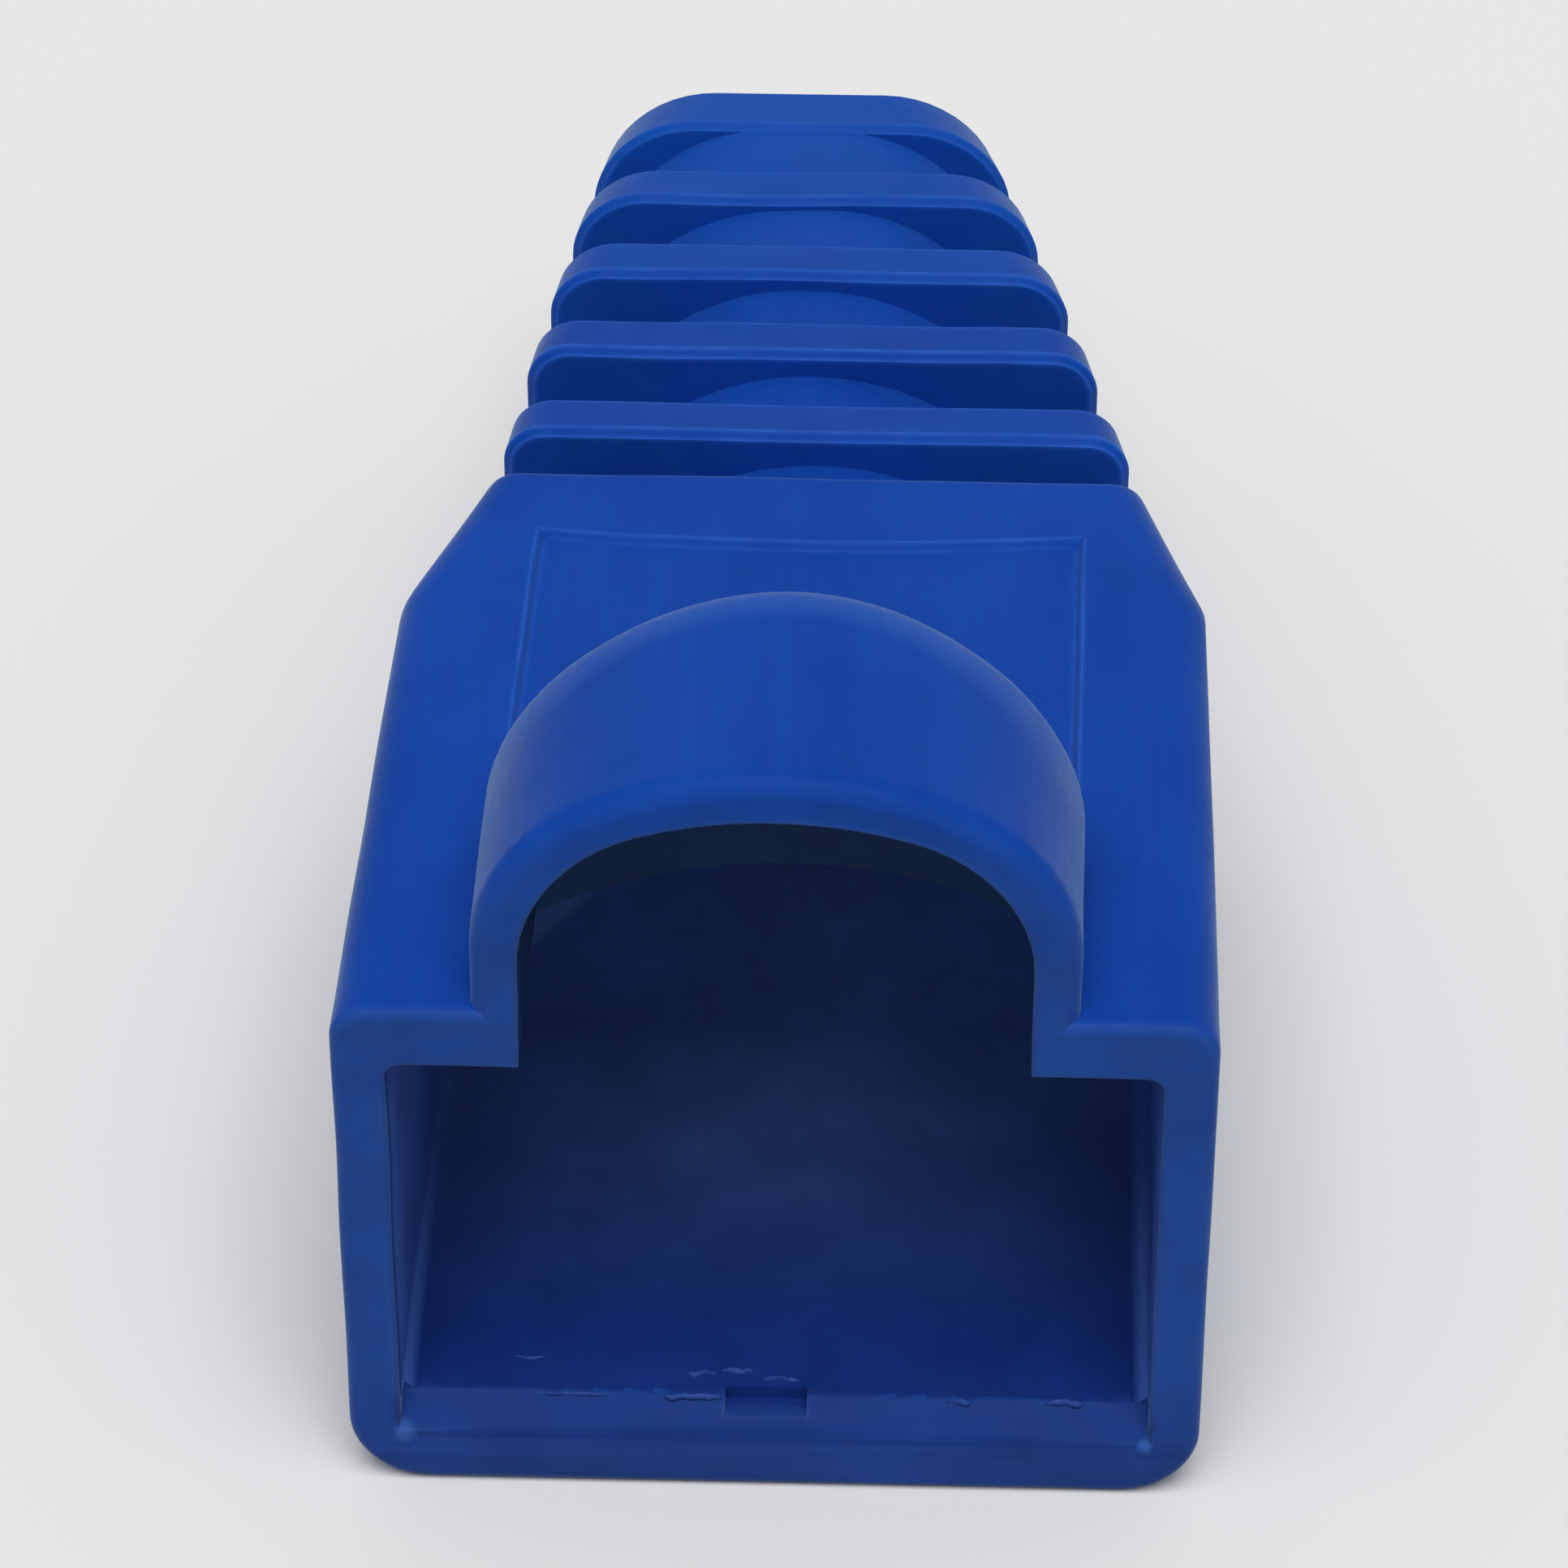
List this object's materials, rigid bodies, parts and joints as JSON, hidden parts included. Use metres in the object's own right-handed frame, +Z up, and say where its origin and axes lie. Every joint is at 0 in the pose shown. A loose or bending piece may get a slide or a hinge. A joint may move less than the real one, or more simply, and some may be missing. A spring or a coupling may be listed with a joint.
{
  "type": "rj45 strain relief boot",
  "caption": "Soft moulded slip-on boot for a modular data plug: a square sleeve with an arched hood over the latch, tapering to a ribbed tail with a cable hole.",
  "frame": {"origin": "middle of the footprint on the flat underside: half way along the length, at the bottom face", "axes": "+Y runs from the plug's mouth to the cable's end, +Z points up through the hood over the latch, +X is to the right when the mouth faces the viewer"},
  "size_m": [0.014, 0.0294, 0.0148],
  "materials": {
    "boot": "blue flexible PVC, smooth with a soft satin sheen"
  },
  "bodies": {
    "root": {"boot": "boot"}
  },
  "joints": []
}
